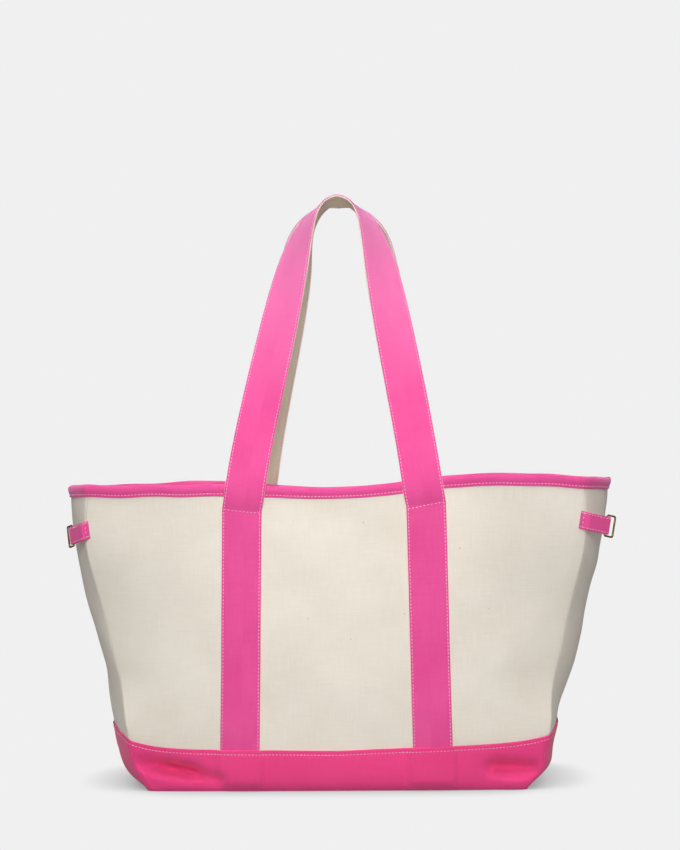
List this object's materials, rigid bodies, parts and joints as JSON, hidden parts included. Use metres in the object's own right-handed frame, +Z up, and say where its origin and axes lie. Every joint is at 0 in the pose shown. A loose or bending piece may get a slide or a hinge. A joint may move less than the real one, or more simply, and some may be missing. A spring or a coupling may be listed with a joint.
{
  "type": "beach tote bag",
  "caption": "Large open-topped canvas tote with a coloured base, bound rim, shoulder strap handles and small side tabs holding rectangular rings.",
  "frame": {"origin": "middle of the bag's box, on the surface it stands on", "axes": "+Z up, +Y towards the back, +X to the right seen from the front"},
  "size_m": [0.5833, 0.2058, 0.6205],
  "materials": {
    "natural_canvas": "matte",
    "strap_lining": "matte",
    "dyed_canvas": "matte",
    "base_canvas": "matte",
    "ring_brass": "satin"
  },
  "bodies": {
    "bag": {"front_panel": "natural_canvas", "back_panel": "natural_canvas", "left_gusset": "natural_canvas", "right_gusset": "natural_canvas", "inner_base": "natural_canvas", "base_bottom": "base_canvas", "base_front": "base_canvas", "base_back": "base_canvas", "base_left": "base_canvas", "base_right": "base_canvas", "rim_binding": "dyed_canvas", "strap_front_left": "dyed_canvas", "strap_front_right": "dyed_canvas", "strap_back_left": "dyed_canvas", "strap_back_right": "dyed_canvas", "strap_lining_front_left": "strap_lining", "strap_lining_front_right": "strap_lining", "strap_lining_back_left": "strap_lining", "strap_lining_back_right": "strap_lining", "seam_tape_front_left": "natural_canvas", "seam_tape_front_right": "natural_canvas", "seam_tape_back_left": "natural_canvas", "seam_tape_back_right": "natural_canvas"},
    "front_handle": {"front_handle_face": "dyed_canvas", "front_handle_lining": "strap_lining"},
    "back_handle": {"back_handle_face": "dyed_canvas", "back_handle_lining": "strap_lining"},
    "front_left_tab": {"tab_front_left": "dyed_canvas"},
    "front_left_ring": {"ring_front_left": "ring_brass"},
    "front_right_tab": {"tab_front_right": "dyed_canvas"},
    "front_right_ring": {"ring_front_right": "ring_brass"},
    "back_left_tab": {"tab_back_left": "dyed_canvas"},
    "back_left_ring": {"ring_back_left": "ring_brass"},
    "back_right_tab": {"tab_back_right": "dyed_canvas"},
    "back_right_ring": {"ring_back_right": "ring_brass"}
  },
  "joints": [
    {"name": "front_handle_fold", "type": "hinge", "parent": "bag", "child": "front_handle", "pos_m": [0, -0.097, 0.29215], "axis": [1, 0, 0], "range_deg": [0, 150]},
    {"name": "back_handle_fold", "type": "hinge", "parent": "bag", "child": "back_handle", "pos_m": [0, 0.097, 0.29215], "axis": [-1, 0, 0], "range_deg": [0, 150]},
    {"name": "front_left_tab_fold", "type": "hinge", "parent": "bag", "child": "front_left_tab", "pos_m": [-0.26134, -0.08604, 0.269], "axis": [0, 0, 1], "range_deg": [0, 110]},
    {"name": "front_left_ring_swing", "type": "hinge", "parent": "front_left_tab", "child": "front_left_ring", "pos_m": [-0.27456, -0.06784, 0.26422], "axis": [-0.1222, 0.1682, 0.9781], "range_deg": [-15, 110]},
    {"name": "front_right_tab_fold", "type": "hinge", "parent": "bag", "child": "front_right_tab", "pos_m": [0.26165, -0.08586, 0.275], "axis": [0, 0, -1], "range_deg": [0, 110]},
    {"name": "front_right_ring_swing", "type": "hinge", "parent": "front_right_tab", "child": "front_right_ring", "pos_m": [0.28073, -0.07393, 0.27022], "axis": [-0.1763, -0.1102, -0.9781], "range_deg": [-30, 110]},
    {"name": "back_left_tab_fold", "type": "hinge", "parent": "bag", "child": "back_left_tab", "pos_m": [-0.26134, 0.08604, 0.269], "axis": [0, 0, -1], "range_deg": [0, 110]},
    {"name": "back_left_ring_swing", "type": "hinge", "parent": "back_left_tab", "child": "back_left_ring", "pos_m": [-0.27456, 0.06784, 0.26422], "axis": [0.1222, 0.1682, -0.9781], "range_deg": [-15, 110]},
    {"name": "back_right_tab_fold", "type": "hinge", "parent": "bag", "child": "back_right_tab", "pos_m": [0.26165, 0.08586, 0.275], "axis": [0, 0, 1], "range_deg": [0, 110]},
    {"name": "back_right_ring_swing", "type": "hinge", "parent": "back_right_tab", "child": "back_right_ring", "pos_m": [0.28073, 0.07393, 0.27022], "axis": [0.1763, -0.1102, 0.9781], "range_deg": [-30, 110]}
  ]
}
